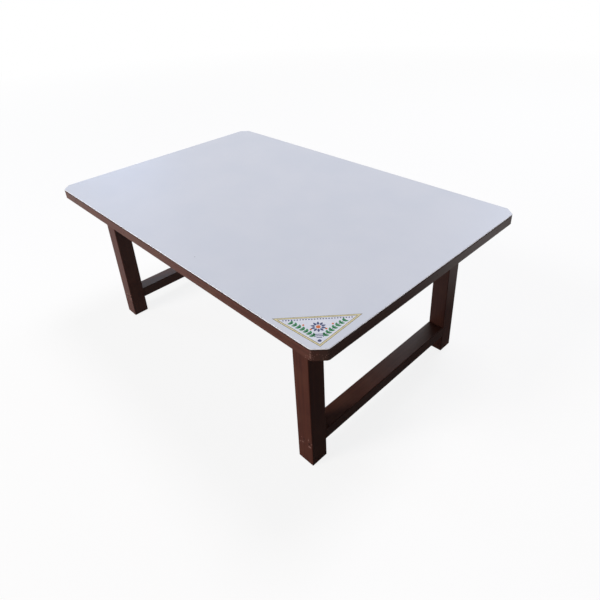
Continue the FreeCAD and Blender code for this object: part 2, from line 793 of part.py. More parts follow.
NAIL = pointed_pin("stretcher_nail", "dims.nail_diameter", "dims.nail_length", "dims.nail_point")
SHOE_SCREW = make_shoe_screw()
make_laminate()
make_label()
board_pins = make_lippings()
board_screws = make_brackets()
make_core_board(board_pins, board_screws)
for frame_side in SIDES:
    make_frame(frame_side)
doc.recompute()

for each in doc.Objects:
    if "Invalid" in each.State or "Error" in each.State:
        raise RuntimeError(f"{each.Label} did not compute")

os.makedirs("parts", exist_ok=True)
for node in nodes:
    shape = Part.getShape(node)
    if shape.isNull() or not shape.isValid() or not shape.Solids:
        raise RuntimeError(f"{node.Label} is not a valid solid")
    shape.exportStep(f"parts/{node.Label}.step")
print(f"{len(nodes)} pieces")
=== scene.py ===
import math

import bmesh
import bpy
from mathutils import Matrix, Vector


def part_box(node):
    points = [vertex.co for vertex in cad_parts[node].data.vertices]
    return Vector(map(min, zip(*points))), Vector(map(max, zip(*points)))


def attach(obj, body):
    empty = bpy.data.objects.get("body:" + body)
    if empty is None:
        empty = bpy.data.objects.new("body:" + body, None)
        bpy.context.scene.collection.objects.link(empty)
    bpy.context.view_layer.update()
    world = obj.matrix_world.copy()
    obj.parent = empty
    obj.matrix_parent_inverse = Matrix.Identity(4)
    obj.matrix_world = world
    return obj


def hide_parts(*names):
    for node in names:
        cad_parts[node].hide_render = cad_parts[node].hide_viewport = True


# Folding study table: the looks of every surface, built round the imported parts.
# Lengths are in metres, in the frame of the parts. MM turns a real size in millimetres to metres.

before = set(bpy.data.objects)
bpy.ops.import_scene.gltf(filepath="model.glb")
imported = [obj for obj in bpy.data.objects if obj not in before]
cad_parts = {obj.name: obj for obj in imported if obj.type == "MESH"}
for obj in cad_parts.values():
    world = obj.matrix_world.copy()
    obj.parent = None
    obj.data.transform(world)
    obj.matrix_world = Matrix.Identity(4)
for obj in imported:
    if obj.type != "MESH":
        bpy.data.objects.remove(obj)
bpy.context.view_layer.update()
MM = 0.001

# Places on the table that the looks follow, read from the parts
laminate_low, laminate_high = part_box("top_laminate")
leg_low, leg_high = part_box("back_right_leg")
nails_low, nails_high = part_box("right_stretcher_nails")
TABLE_TOP = laminate_high.z
HALF_LENGTH = laminate_high.x
HALF_WIDTH = laminate_high.y
LEG_MIDDLE = (leg_low.y + leg_high.y) / 2
LEG_OUTSIDE = leg_high.y
NAIL_HEIGHT = (nails_low.z + nails_high.z) / 2

# Sizes of the table that the boxes of its parts don't give
LAMINATE_BEVEL = 0.5 * MM
CORNER_CUT = 13 * MM


# Colours and nodes

def linear(code):
    """Turns an sRGB hex colour to the linear values that shaders use."""
    channels = [int(code[start:start + 2], 16) / 255 for start in (1, 3, 5)]
    knee, slope, offset, power = 0.04045, 12.92, 0.055, 2.4
    values = [
        c / slope if c <= knee else ((c + offset) / (1 + offset)) ** power for c in channels
    ]
    return (*values, 1.0)


def add_node(tree, kind, inputs=(), **settings):
    """Adds a node. Each input is a value, a socket to link, or a node whose output is linked."""
    node = tree.nodes.new("ShaderNode" + kind)
    for name, value in settings.items():
        setattr(node, name, value)
    for key, value in dict(inputs).items():
        by_name = [socket for socket in node.inputs if socket.enabled and socket.name == key]
        entry = by_name[0] if by_name else node.inputs[key]
        if isinstance(value, bpy.types.Node):
            value = next(socket for socket in value.outputs if socket.enabled)
        if isinstance(value, bpy.types.NodeSocket):
            tree.links.new(value, entry)
        else:
            entry.default_value = value
    return node


def new_material(name):
    """An empty material, its tree, and the place of each point on the piece in metres."""
    material = bpy.data.materials.new(name)
    material.use_nodes = True
    tree = material.node_tree
    tree.nodes.clear()
    return material, tree, add_node(tree, "TexCoord").outputs["Object"]


# Wood

# The grain, the blotches of the stain and the ripple of the lacquer
STREAK_WIDTH, STREAK_LENGTH = 2.4 * MM, 110 * MM
PORE_WIDTH, PORE_LENGTH, PORE_DEPTH = 0.5 * MM, 7 * MM, 0.05 * MM
BLOTCH = 24 * MM
ORANGE_PEEL, ORANGE_PEEL_DEPTH = 1.6 * MM, 0.04 * MM

# Pale specks of dust, chips on the cut corners and nicks round the nails: the pitch of their
# cells, their size, and the share of the cells that have one
DUST = (5 * MM, 0.45 * MM, 0.27)
CHIPS = (2.2 * MM, 0.7 * MM, 0.45)
NICKS = (3.4 * MM, 1.5 * MM, 0.55)
DUST_PALENESS = 0.5

# How far wear, dark stain and painted light reach: nicks above and below the nails and into the
# leg, chips on the cut corners and pale lines down their edges (rubbed stain and painted
# highlight), scuffs and painted highlight up the foot, dark stain at the mitres, and dark stain
# with painted shade under the laminate and on the cut corners. Up to FULL each has its whole
# strength, and at FADE there is none left.
NICK_REACH, NICK_DEPTH = 8 * MM, 0.3 * MM
CHIPS_FADE, CHIPS_FULL = CORNER_CUT, 0.6 * CORNER_CUT
EDGE_WEAR_AND_HIGHLIGHT_FADE, EDGE_WEAR_AND_HIGHLIGHT_FULL, EDGE_WEAR_AND_HIGHLIGHT_PATCH = 1.8 * MM, 0.6 * MM, 1.8 * MM
SCUFF_AND_HIGHLIGHT_FADE, SCUFF_AND_HIGHLIGHT_FULL, SCUFF_AND_HIGHLIGHT_PATCH = 5 * MM, 0.5 * MM, 1.8 * MM
MITRE_FADE, MITRE_FULL = 0.3 * MM, 0.15 * MM
# Under the laminate's edge dark stain with a painted shadow gap, and on the cut corners stain in
# the end grain with painted shade
UNDER_TOP_STAIN_AND_SHADE_FADE, UNDER_TOP_STAIN_AND_SHADE_FULL = 1.9 * MM, 1.14 * MM
CUT_STAIN_AND_SHADE_FADE, CUT_STAIN_AND_SHADE_FULL = 1.6 * MM, 0.4 * MM
JOINT_DULLING = 0.4

PORE_BROWN = "#2E1813"
STAIN_AND_SHADE_BROWN = "#25130F"
# The pale of bare wood: for dust, chips, nicks and scuffs, and for the painted highlight on the
# cut corners' edges and at the foot
PALE_WEAR_AND_HIGHLIGHT = "#AD8378"

# For each kind of wooden piece: the way its grain runs, its stain (the dark and the light of
# the streaks, and the blotches over them; for the short lippings and the stretchers darker, as
# painted shade), and its gloss
WOOD = {
    "long_lipping": ("x", ("#5C3429", "#704135", "#704A37"), 0.5),
    # The short lippings' stain is darker than the long lippings': painted shade, for the end of
    # the top turned away from the lamps
    "painted_shade_short_lipping": ("y", ("#4C2C24", "#5E392F", "#5F4032"), 0.5),
    "leg": ("z", ("#4F281F", "#613427", "#653B2B"), 0.38),
    # The stretchers' stain is darker than the legs': painted shade, for where they stand under
    # the top
    "stretcher": ("y", ("#42231A", "#512C20", "#533326"), 0.42),
    "stretcher_edge": ("y", ("#42231A", "#512C20", "#533326"), 0.08),
}


def along_grain(tree, place, axis, width, length):
    """Stretched along one axis, so that noise of scale 1 has grain of this width and length."""
    scale = [1 / width] * 3
    scale["xyz".index(axis)] = 1 / length
    return add_node(tree, "VectorMath", {0: place, 1: scale}, operation="MULTIPLY")


def pale_specks(tree, place, pitch, size, share):
    """Small round specks, one in a share of the cells of this pitch, full in their middle."""
    cells = add_node(tree, "TexVoronoi", {"Vector": place, "Scale": 1 / pitch})
    near = add_node(tree, "MapRange", {
        "Value": cells.outputs["Distance"], "From Min": size / pitch,
        "From Max": 0.5 * size / pitch}, interpolation_type="SMOOTHSTEP")
    lot = add_node(tree, "SeparateColor", {"Color": cells.outputs["Color"]})
    chosen = add_node(tree, "Math", {0: lot, 1: 1 - share}, operation="GREATER_THAN")
    return add_node(tree, "Math", {0: near, 1: chosen}, operation="MULTIPLY")


def stained_wood(kind):
    # Plantation hardwood, planed, wiped with brown stain and sprayed with satin lacquer.
    # Gives an even red brown with faint long streaks, short dark pores, a few pale specks of
    # dust under the lacquer, and a sheen that greys the wood where it is seen at a low angle.
    # Real pores are 0.2 mm wide, too fine to show, so they are drawn more than twice that.
    axis, tones, gloss = WOOD[kind]
    material, tree, place = new_material(f"stained_hardwood_planed_{kind}")
    streaks = add_node(tree, "TexNoise", {
        "Vector": along_grain(tree, place, axis, STREAK_WIDTH, STREAK_LENGTH),
        "Scale": 1.0, "Detail": 3.0, "Roughness": 0.55, "Distortion": 0.2})
    in_streak = add_node(tree, "MapRange", {
        "Value": streaks, "From Min": 0.32, "From Max": 0.70}, interpolation_type="SMOOTHSTEP")
    stain = add_node(tree, "Mix", {
        "Factor": in_streak, "A": linear(tones[0]), "B": linear(tones[1])}, data_type="RGBA")

    blotches = add_node(tree, "TexNoise", {
        "Vector": place, "Scale": 1 / BLOTCH, "Detail": 3.0, "Roughness": 0.5})
    in_blotch = add_node(tree, "MapRange", {
        "Value": blotches, "From Min": 0.35, "From Max": 0.75, "To Max": 0.6},
        interpolation_type="SMOOTHSTEP")
    stain = add_node(tree, "Mix", {
        "Factor": in_blotch, "A": stain, "B": linear(tones[2])}, data_type="RGBA")

    pores = add_node(tree, "TexNoise", {
        "Vector": along_grain(tree, place, axis, PORE_WIDTH, PORE_LENGTH),
        "Scale": 1.0, "Detail": 1.0, "Roughness": 0.4})
    in_pore = add_node(tree, "MapRange", {
        "Value": pores, "From Min": 0.60, "From Max": 0.72, "To Max": 0.35},
        interpolation_type="SMOOTHSTEP")
    stain = add_node(tree, "Mix", {
        "Factor": in_pore, "A": stain, "B": linear(PORE_BROWN)}, data_type="RGBA")

    sheen = add_node(tree, "MapRange", {"Value": blotches, "To Min": 0.37, "To Max": 0.47})
    if kind.endswith("lipping"):
        # On the lippings: dark stain at the mitres, and dark stain with painted shade under the
        # laminate and on the cut corners
        lines = joint_stain_and_shade(tree, place)
        stain = add_node(tree, "Mix", {
            "Factor": lines, "A": stain, "B": linear(STAIN_AND_SHADE_BROWN)}, data_type="RGBA")
        sheen = add_node(tree, "Math", {
            0: lines, 1: JOINT_DULLING, 2: sheen}, operation="MULTIPLY_ADD")
        # Pale marks: chips and rubbed stain with painted highlight on the cut corners, or scuffs
        # with painted highlight and nicks on the legs
        marks_and_highlight = corner_wear_and_highlight(tree, place)
    else:
        marks_and_highlight = leg_scuffs_and_highlight(tree, place)
    dust = pale_specks(tree, place, *DUST)
    faint_dust = add_node(tree, "Math", {0: dust, 1: DUST_PALENESS}, operation="MULTIPLY")
    pale = add_node(tree, "Math", {0: faint_dust, 1: marks_and_highlight}, operation="MAXIMUM")
    stain = add_node(tree, "Mix", {
        "Factor": pale, "A": stain, "B": linear(PALE_WEAR_AND_HIGHLIGHT)}, data_type="RGBA")

    relief = add_node(tree, "Bump", {
        "Strength": 0.3, "Distance": PORE_DEPTH, "Height": in_pore}, invert=True)
    lacquer = add_node(tree, "TexNoise", {
        "Vector": place, "Scale": 1 / ORANGE_PEEL, "Detail": 1.0, "Roughness": 0.5})
    relief = add_node(tree, "Bump", {
        "Strength": 0.25, "Distance": ORANGE_PEEL_DEPTH, "Height": lacquer, "Normal": relief})
    shader = add_node(tree, "BsdfPrincipled", {
        "Base Color": stain, "Roughness": sheen, "IOR": 1.45,
        "Specular IOR Level": gloss, "Normal": relief})
    add_node(tree, "OutputMaterial", {"Surface": shader})
    return material


def quarter_place(tree, place):
    """The place as if every quarter of the top were the one at +X and +Y, with no height."""
    positive = add_node(tree, "VectorMath", {0: place}, operation="ABSOLUTE")
    return add_node(tree, "VectorMath", {0: positive, 1: (1, 1, 0)}, operation="MULTIPLY")


def joint_stain_and_shade(tree, place):
    """Where dark stain sits along each mitre, and dark stain with painted shade under the
    laminate and on the cut corners.
    """
    split = add_node(tree, "SeparateXYZ", {"Vector": quarter_place(tree, place)})
    from_end = add_node(tree, "Math", {
        0: HALF_LENGTH, 1: split.outputs["X"]}, operation="SUBTRACT")
    from_side = add_node(tree, "Math", {
        0: HALF_WIDTH, 1: split.outputs["Y"]}, operation="SUBTRACT")
    past_mitre = add_node(tree, "Math", {0: from_end, 1: from_side}, operation="SUBTRACT")
    off_mitre = add_node(tree, "Math", {0: past_mitre}, operation="ABSOLUTE")
    mitre = add_node(tree, "MapRange", {
        "Value": off_mitre, "From Min": MITRE_FADE, "From Max": MITRE_FULL,
        "To Max": 0.45}, interpolation_type="SMOOTHSTEP")
    height = add_node(tree, "SeparateXYZ", {"Vector": place}).outputs["Z"]
    # Painted shadow under the laminate's edge, with the stain that pools there
    stain_and_shade_under_top = add_node(tree, "MapRange", {
        "Value": height, "From Min": laminate_low.z - UNDER_TOP_STAIN_AND_SHADE_FADE,
        "From Max": laminate_low.z - UNDER_TOP_STAIN_AND_SHADE_FULL, "To Max": 0.7},
        interpolation_type="SMOOTHSTEP")
    reach = add_node(tree, "Math", {0: from_end, 1: from_side}, operation="ADD")
    # The cut corners darker: stain in the end grain, and painted shade on the faces of the cut
    cut = add_node(tree, "MapRange", {
        "Value": reach, "From Min": CORNER_CUT + CUT_STAIN_AND_SHADE_FADE,
        "From Max": CORNER_CUT + CUT_STAIN_AND_SHADE_FULL, "To Max": 0.5},
        interpolation_type="SMOOTHSTEP")
    lines = add_node(tree, "Math", {0: mitre, 1: stain_and_shade_under_top}, operation="MAXIMUM")
    return add_node(tree, "Math", {0: lines, 1: cut}, operation="MAXIMUM")


def corner_wear_and_highlight(tree, place):
    """Chips in the stain of the cut corners, and a pale line down each edge of the cut, rubbed
    stain and painted highlight.
    """
    quarter = quarter_place(tree, place)
    edges = [
        add_node(tree, "VectorMath", {0: quarter, 1: edge}, operation="DISTANCE")
        for edge in ((HALF_LENGTH - CORNER_CUT, HALF_WIDTH, 0),
                     (HALF_LENGTH, HALF_WIDTH - CORNER_CUT, 0))
    ]
    from_edge = add_node(tree, "Math", {0: edges[0], 1: edges[1]}, operation="MINIMUM")
    # A broken pale line along each edge of the cut: rubbed stain, and a painted highlight on the
    # edge
    on_edge = add_node(tree, "MapRange", {
        "Value": from_edge, "From Min": EDGE_WEAR_AND_HIGHLIGHT_FADE, "From Max": EDGE_WEAR_AND_HIGHLIGHT_FULL,
        "To Max": 0.7}, interpolation_type="SMOOTHSTEP")
    patches = add_node(tree, "TexNoise", {
        "Vector": place, "Scale": 1 / EDGE_WEAR_AND_HIGHLIGHT_PATCH, "Detail": 2.0, "Roughness": 0.6})
    rubbed = add_node(tree, "MapRange", {
        "Value": patches, "From Min": 0.48, "From Max": 0.62}, interpolation_type="SMOOTHSTEP")
    rubbed = add_node(tree, "Math", {0: rubbed, 1: on_edge}, operation="MULTIPLY")
    near_cut = add_node(tree, "MapRange", {
        "Value": from_edge, "From Min": CHIPS_FADE, "From Max": CHIPS_FULL, "To Max": 0.8})
    chips = pale_specks(tree, place, *CHIPS)
    chips = add_node(tree, "Math", {0: chips, 1: near_cut}, operation="MULTIPLY")
    return add_node(tree, "Math", {0: rubbed, 1: chips}, operation="MAXIMUM")


def leg_scuffs_and_highlight(tree, place):
    """Pale scuffs with painted highlight at the foot of each leg, and nicks in its outer face
    round the nails.
    """
    split = add_node(tree, "SeparateXYZ", {"Vector": place})
    # Pale at the foot: scuffs, and a painted highlight where the foot's edges catch the light
    low = add_node(tree, "MapRange", {
        "Value": split.outputs["Z"], "From Min": SCUFF_AND_HIGHLIGHT_FADE, "From Max": SCUFF_AND_HIGHLIGHT_FULL,
        "To Max": 0.8}, interpolation_type="SMOOTHSTEP")
    scuffs = add_node(tree, "TexNoise", {
        "Vector": place, "Scale": 1 / SCUFF_AND_HIGHLIGHT_PATCH, "Detail": 3.0, "Roughness": 0.6})
    scuffed_and_lit = add_node(tree, "MapRange", {
        "Value": scuffs, "From Min": 0.56, "From Max": 0.70}, interpolation_type="SMOOTHSTEP")
    scuffed_and_lit = add_node(tree, "Math", {0: low, 1: scuffed_and_lit}, operation="MULTIPLY")
    at_nails = add_node(tree, "Math", {
        0: split.outputs["Z"], 1: NAIL_HEIGHT, 2: NICK_REACH}, operation="COMPARE")
    from_middle = add_node(tree, "Math", {0: split.outputs["Y"]}, operation="ABSOLUTE")
    outside = add_node(tree, "Math", {
        0: from_middle, 1: LEG_OUTSIDE - NICK_DEPTH}, operation="GREATER_THAN")
    struck = add_node(tree, "Math", {0: at_nails, 1: outside}, operation="MULTIPLY")
    nicks = pale_specks(tree, place, *NICKS)
    nicks = add_node(tree, "Math", {0: nicks, 1: struck}, operation="MULTIPLY")
    return add_node(tree, "Math", {0: scuffed_and_lit, 1: nicks}, operation="MAXIMUM")


# The board, the laminate and the label

FIBRE_CLUMP, FIBRE_DEPTH = 1.1 * MM, 0.08 * MM
BOARD_PATCH = 45 * MM
LAMINATE_CLOUD, LAMINATE_MOTTLE = 70 * MM, 9 * MM
PLATE_GRAIN, PLATE_GRAIN_DEPTH, PLATE_GRAIN_STRENGTH = 0.9 * MM, 0.02 * MM, 0.12
# How far below the top face the bevel's pale line, a painted highlight on the white of the cut
# print, starts and is full, and the core's fade
BEVEL_START, BEVEL_FULL = 0.02 * MM, 0.06 * MM
CORE_FADE = 0.1 * MM
BEVEL_ROUGHNESS = 0.62
SPECK_PLACE, SPECK_FADE, SPECK_FULL = (62 * MM, -177.4 * MM, TABLE_TOP), 1.1 * MM, 0.44 * MM
FILM_WAVE, FILM_WAVE_DEPTH = 6 * MM, 0.05 * MM
INK_PULL = 1.6 * MM


def pressed_fibreboard():
    # Medium density fibreboard, hot pressed and left raw underneath.
    # Gives a flat tan with fine darker and lighter fibres in no direction.
    # Real fibres are 0.1 mm thick, so their clumps are drawn instead.
    material, tree, place = new_material("fibreboard_pressed_raw")
    fibres = add_node(tree, "TexNoise", {
        "Vector": place, "Scale": 1 / FIBRE_CLUMP, "Detail": 4.0, "Roughness": 0.7})
    in_fibre = add_node(tree, "MapRange", {
        "Value": fibres, "From Min": 0.35, "From Max": 0.65}, interpolation_type="SMOOTHSTEP")
    tan = add_node(tree, "Mix", {
        "Factor": in_fibre, "A": linear("#8F6F4E"), "B": linear("#B08E68")}, data_type="RGBA")
    patches = add_node(tree, "TexNoise", {
        "Vector": place, "Scale": 1 / BOARD_PATCH, "Detail": 2.0, "Roughness": 0.5})
    in_patch = add_node(tree, "MapRange", {"Value": patches, "To Max": 0.35})
    tan = add_node(tree, "Mix", {
        "Factor": in_patch, "A": tan, "B": linear("#9A7A58")}, data_type="RGBA")
    relief = add_node(tree, "Bump", {"Strength": 0.3, "Distance": FIBRE_DEPTH, "Height": fibres})
    shader = add_node(tree, "BsdfPrincipled", {
        "Base Color": tan, "Roughness": 0.85, "Specular IOR Level": 0.25, "Normal": relief})
    add_node(tree, "OutputMaterial", {"Surface": shader})
    return material


def decorative_laminate():
    # Paper and resin sheet pressed against a satin plate. Gives a cool white with a very faint
    # cloudiness and a soft sheen, a brighter line on the bevelled edge that is a painted
    # highlight as well as the white of the cut print, a dark resin core under that line, and one
    # small speck.
    material, tree, place = new_material("decorative_laminate_satin_pressed")
    clouds = add_node(tree, "TexNoise", {
        "Vector": place, "Scale": 1 / LAMINATE_CLOUD, "Detail": 3.0, "Roughness": 0.5})
    in_cloud = add_node(tree, "MapRange", {
        "Value": clouds, "From Min": 0.30, "From Max": 0.72}, interpolation_type="SMOOTHSTEP")
    white = add_node(tree, "Mix", {
        "Factor": in_cloud, "A": linear("#C3C9D3"), "B": linear("#C7CCD5")}, data_type="RGBA")
    mottle = add_node(tree, "TexNoise", {
        "Vector": place, "Scale": 1 / LAMINATE_MOTTLE, "Detail": 2.0, "Roughness": 0.5})
    in_mottle = add_node(tree, "MapRange", {"Value": mottle, "To Max": 0.25})
    white = add_node(tree, "Mix", {
        "Factor": in_mottle, "A": white, "B": linear("#C9CED6")}, data_type="RGBA")

    height = add_node(tree, "SeparateXYZ", {"Vector": place}).outputs["Z"]
    on_bevel = add_node(tree, "MapRange", {
        "Value": height, "From Min": TABLE_TOP - BEVEL_START,
        "From Max": TABLE_TOP - BEVEL_FULL})
    # The bevel painted brighter: a painted highlight on the edge, with the white of the cut print
    colour = add_node(tree, "Mix", {
        "Factor": on_bevel, "A": white, "B": linear("#F2F3F6")}, data_type="RGBA")
    bevel_foot = TABLE_TOP - LAMINATE_BEVEL
    in_core = add_node(tree, "MapRange", {
        "Value": height, "From Min": bevel_foot, "From Max": bevel_foot - CORE_FADE})
    colour = add_node(tree, "Mix", {
        "Factor": in_core, "A": colour, "B": linear("#33201B")}, data_type="RGBA")
    from_speck = add_node(tree, "VectorMath", {
        0: place, 1: SPECK_PLACE}, operation="DISTANCE")
    on_speck = add_node(tree, "MapRange", {
        "Value": from_speck, "From Min": SPECK_FADE, "From Max": SPECK_FULL,
        "To Max": 0.6}, interpolation_type="SMOOTHSTEP")
    colour = add_node(tree, "Mix", {
        "Factor": on_speck, "A": colour, "B": linear("#5A5E6B")}, data_type="RGBA")

    plate_grain = add_node(tree, "TexNoise", {
        "Vector": place, "Scale": 1 / PLATE_GRAIN, "Detail": 1.0, "Roughness": 0.5})
    off_bevel = add_node(tree, "Math", {0: 1.0, 1: on_bevel}, operation="SUBTRACT")
    grain_strength = add_node(tree, "Math", {
        0: off_bevel, 1: PLATE_GRAIN_STRENGTH}, operation="MULTIPLY")
    relief = add_node(tree, "Bump", {
        "Strength": grain_strength, "Distance": PLATE_GRAIN_DEPTH, "Height": plate_grain})
    satin = add_node(tree, "MapRange", {"Value": mottle, "To Min": 0.34, "To Max": 0.44})
    satin = add_node(tree, "Mix", {
        "Factor": on_bevel, "A": satin, "B": BEVEL_ROUGHNESS}, data_type="FLOAT")
    shader = add_node(tree, "BsdfPrincipled", {
        "Base Color": colour, "Roughness": satin, "IOR": 1.5, "Specular IOR Level": 0.4,
        "Normal": relief})
    add_node(tree, "OutputMaterial", {"Surface": shader})
    return material


def label_film():
    # Printed polyester film, rolled on. Gives a white a little glossier than the top, with the
    # faint waviness of thin film.
    material, tree, place = new_material("label_film_rolled_on")
    waves = add_node(tree, "TexNoise", {
        "Vector": place, "Scale": 1 / FILM_WAVE, "Detail": 2.0, "Roughness": 0.5})
    in_wave = add_node(tree, "MapRange", {
        "Value": waves, "From Min": 0.3, "From Max": 0.7}, interpolation_type="SMOOTHSTEP")
    white = add_node(tree, "Mix", {
        "Factor": in_wave, "A": linear("#CBD0DC"), "B": linear("#D3D7E0")}, data_type="RGBA")
    relief = add_node(tree, "Bump", {
        "Strength": 0.15, "Distance": FILM_WAVE_DEPTH, "Height": waves})
    shader = add_node(tree, "BsdfPrincipled", {
        "Base Color": white, "Roughness": 0.28, "Specular IOR Level": 0.4, "Normal": relief})
    add_node(tree, "OutputMaterial", {"Surface": shader})
    return material


def screen_ink(name, dark, light):
    # Screen printed ink. Gives flat colour with the slight unevenness of a pulled print.
    material, tree, place = new_material(f"{name}_screen_ink")
    pull = add_node(tree, "TexNoise", {
        "Vector": place, "Scale": 1 / INK_PULL, "Detail": 3.0, "Roughness": 0.6})
    in_pull = add_node(tree, "MapRange", {
        "Value": pull, "From Min": 0.35, "From Max": 0.65}, interpolation_type="SMOOTHSTEP")
    colour = add_node(tree, "Mix", {
        "Factor": in_pull, "A": linear(dark), "B": linear(light)}, data_type="RGBA")
    shader = add_node(tree, "BsdfPrincipled", {"Base Color": colour, "Roughness": 0.4})
    add_node(tree, "OutputMaterial", {"Surface": shader})
    return material


# Metal and the filler over nails

# Real rolling lines are 0.05 mm apart, too fine to show, so they are drawn 0.35 mm wide
ROLL_LINE_WIDTH, ROLL_LINE_LENGTH, ROLL_LINE_DEPTH = 0.35 * MM, 14 * MM, 0.02 * MM
FILLER_GRIT, FILLER_DEPTH = 0.7 * MM, 0.15 * MM


def rolled_steel(name, dark, light, bloom_size, dull, bright):
    """A pale or dark steel with a cloudy bloom and fine lines along X from the rolls."""
    material, tree, place = new_material(name)
    bloom = add_node(tree, "TexNoise", {
        "Vector": place, "Scale": 1 / bloom_size, "Detail": 3.0, "Roughness": 0.5})
    in_bloom = add_node(tree, "MapRange", {
        "Value": bloom, "From Min": 0.3, "From Max": 0.7}, interpolation_type="SMOOTHSTEP")
    grey = add_node(tree, "Mix", {
        "Factor": in_bloom, "A": linear(dark), "B": linear(light)}, data_type="RGBA")
    lines = add_node(tree, "TexNoise", {
        "Vector": along_grain(tree, place, "x", ROLL_LINE_WIDTH, ROLL_LINE_LENGTH),
        "Scale": 1.0, "Detail": 2.0})
    relief = add_node(tree, "Bump", {
        "Strength": 0.2, "Distance": ROLL_LINE_DEPTH, "Height": lines})
    blur = add_node(tree, "MapRange", {"Value": bloom, "To Min": bright, "To Max": dull})
    shader = add_node(tree, "BsdfPrincipled", {
        "Base Color": grey, "Metallic": 1.0, "Roughness": blur, "Normal": relief})
    add_node(tree, "OutputMaterial", {"Surface": shader})
    return material


def filled_nail(name, dark, light):
    # Nail or pin set below the wood, the hole stopped with wax filler and stained over.
    # Gives a small dull spot, a little off the colour of the wood round it.
    material, tree, place = new_material(f"{name}_stopped_and_stained")
    grit = add_node(tree, "TexNoise", {
        "Vector": place, "Scale": 1 / FILLER_GRIT, "Detail": 3.0, "Roughness": 0.7})
    in_grit = add_node(tree, "MapRange", {
        "Value": grit, "From Min": 0.35, "From Max": 0.65}, interpolation_type="SMOOTHSTEP")
    colour = add_node(tree, "Mix", {
        "Factor": in_grit, "A": linear(dark), "B": linear(light)}, data_type="RGBA")
    relief = add_node(tree, "Bump", {"Strength": 0.5, "Distance": FILLER_DEPTH, "Height": grit})
    shader = add_node(tree, "BsdfPrincipled", {
        "Base Color": colour, "Roughness": 0.7, "Specular IOR Level": 0.2, "Normal": relief})
    add_node(tree, "OutputMaterial", {"Surface": shader})
    return material


# Finishes of the parts

# Cold rolled steel, pressed and bright zinc plated. Gives a pale grey metal with a milky bloom
# and slightly blurred reflections.
zinc = rolled_steel("zinc_plated_steel_pressed", "#A9ACAE", "#C3C5C6",
                    bloom_size=7 * MM, dull=0.46, bright=0.28)


# A face looks along an axis where its normal has at least this share of it
FACING_SHARE = 0.95


def finish_parts():
    wood = {kind: stained_wood(kind) for kind in WOOD}
    finishes = {
        "top_laminate": decorative_laminate(),
        "corner_label": label_film(),
        "core_board": pressed_fibreboard(),
        "lipping_pins": filled_nail("panel_pin", "#452820", "#6B4236"),
        "stretcher_nails": filled_nail("stretcher_nail", "#170C09", "#54352B"),
        # Carbon steel strip, hardened, tempered and oiled. Gives a dark grey metal, a hint blue.
        "spring": rolled_steel("spring_steel_hardened", "#5B5F66", "#777A7E",
                               bloom_size=11 * MM, dull=0.38, bright=0.30),
        "stretcher": wood["stretcher"],
        "leg": wood["leg"],
        "front_lipping": wood["long_lipping"],
        "back_lipping": wood["long_lipping"],
        "left_lipping": wood["painted_shade_short_lipping"],
        "right_lipping": wood["painted_shade_short_lipping"],
    }
    for name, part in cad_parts.items():
        found = next((finish for end, finish in finishes.items() if name.endswith(end)), zinc)
        part.data.materials.clear()
        part.data.materials.append(found)
        for polygon in part.data.polygons:
            polygon.material_index = 0
        if name.endswith("stretcher"):
            dull_edges(part, wood["stretcher_edge"])


def dull_edges(part, finish):
    """Gives the eased edges, whose faces look along no axis, the finish of rubbed lacquer."""
    part.data.materials.append(finish)
    for polygon in part.data.polygons:
        if max(abs(share) for share in polygon.normal) < FACING_SHARE:
            polygon.material_index = 1


finish_parts()


# The label's print, a made up border and garland

label_low, label_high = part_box("corner_label")
LABEL_RUN = label_high.x - label_low.x
LABEL_SKEW = label_high.y - label_low.y - LABEL_RUN
LABEL_TURN = Matrix.Rotation(math.atan2(LABEL_SKEW, LABEL_RUN), 3, "Z")
LABEL_CORNER = Vector((label_high.x, label_low.y + LABEL_SKEW, label_high.z))
LABEL_RIGHT = LABEL_TURN @ Vector((1, 1, 0)).normalized()
LABEL_UP = LABEL_TURN @ Vector((-1, 1, 0)).normalized()
LABEL_REACH = math.hypot(LABEL_RUN, LABEL_SKEW) / math.sqrt(2)
INK = 0.02 * MM

# The border: a band between two lines, each with its inset from the film's edge and its width
BORDER_BAND = (0.75 * MM, 1.55 * MM)
BORDER_LINES = ((0.2 * MM, 0.55 * MM), (2.3 * MM, 0.55 * MM))

# The two sprigs, one up each side, with leaves in pairs and a berry beside some of the pairs
SPRIG_FOOT, SPRIG_RISE = 15 * MM, 25 * MM
SPRIG_INSET, SPRIG_BOW = 11 * MM, 1.2 * MM
STEM_STROKES, STEM_WIDTH, STROKE_OVERLAP_SHARE = 12, 0.8 * MM, 0.3
LEAF_PAIRS, LEAF_LENGTH, LEAF_WIDTH, LEAF_LEAN = 7, 5.2 * MM, 2.9 * MM, 0.75
FIRST_LEAF_SHARE, AHEAD_SHARE = 0.4, 0.04
# under 1, so that a leaf is widest a little before its middle
LEAF_FULLNESS = 0.8
BERRY_PAIRS = (2, 4)
BERRY_OFF, BERRY_RADIUS = 5 * MM, 1.2 * MM

# The flower on the middle line, the row of beads over it, and three rules and a seed under it
FLOWER_UP, HEART_RADIUS = 30.5 * MM, 2.5 * MM
PETALS, PETAL_ROOT, PETAL_LENGTH, PETAL_WIDTH = 10, 3.2 * MM, 5.2 * MM, 2.8 * MM
BEADS_EACH_SIDE, BEAD_PITCH, BEAD_UP, BEAD_RADIUS = 12, 3 * MM, 43.2 * MM, 0.9 * MM
RULES = ((6 * MM, 18.4 * MM), (4.4 * MM, 16 * MM), (2.8 * MM, 13.6 * MM))
RULE_WIDTH = 1.1 * MM
SEED_UP, SEED_RADIUS = 9.2 * MM, 2 * MM


def on_label(across, up, lift=0.0):
    """A point on the label: across from its middle line, and up from its square corner."""
    return LABEL_CORNER + across * LABEL_RIGHT + up * LABEL_UP + Vector((0, 0, lift))


